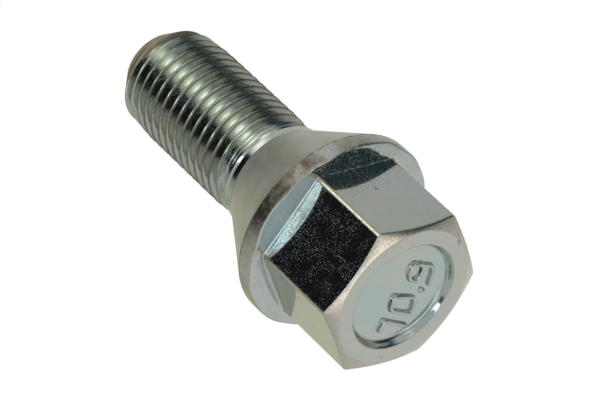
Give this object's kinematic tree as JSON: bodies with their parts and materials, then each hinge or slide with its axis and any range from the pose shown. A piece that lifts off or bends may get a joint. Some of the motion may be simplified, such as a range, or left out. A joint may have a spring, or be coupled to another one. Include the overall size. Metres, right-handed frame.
{
  "type": "wheel bolt",
  "caption": "Hexagon-head wheel bolt with a collar, a 60 degree conical seat and a threaded shank with a chamfered point, forged in one piece.",
  "frame": {"origin": "on the bolt's axis, in the plane of the head's flat rim, which the bolt stands on", "axes": "+Z along the bolt's axis from the head to the point of the shank; the hexagon has corners on the X axis and flats across Y"},
  "size_m": [0.025, 0.025, 0.0497],
  "materials": {
    "zinc_plated_steel": "zinc plated and passivated, satin on the cone and the thread, glossy on the hexagon's flats"
  },
  "bodies": {
    "root": {"wheel_bolt": "zinc_plated_steel"}
  },
  "joints": []
}
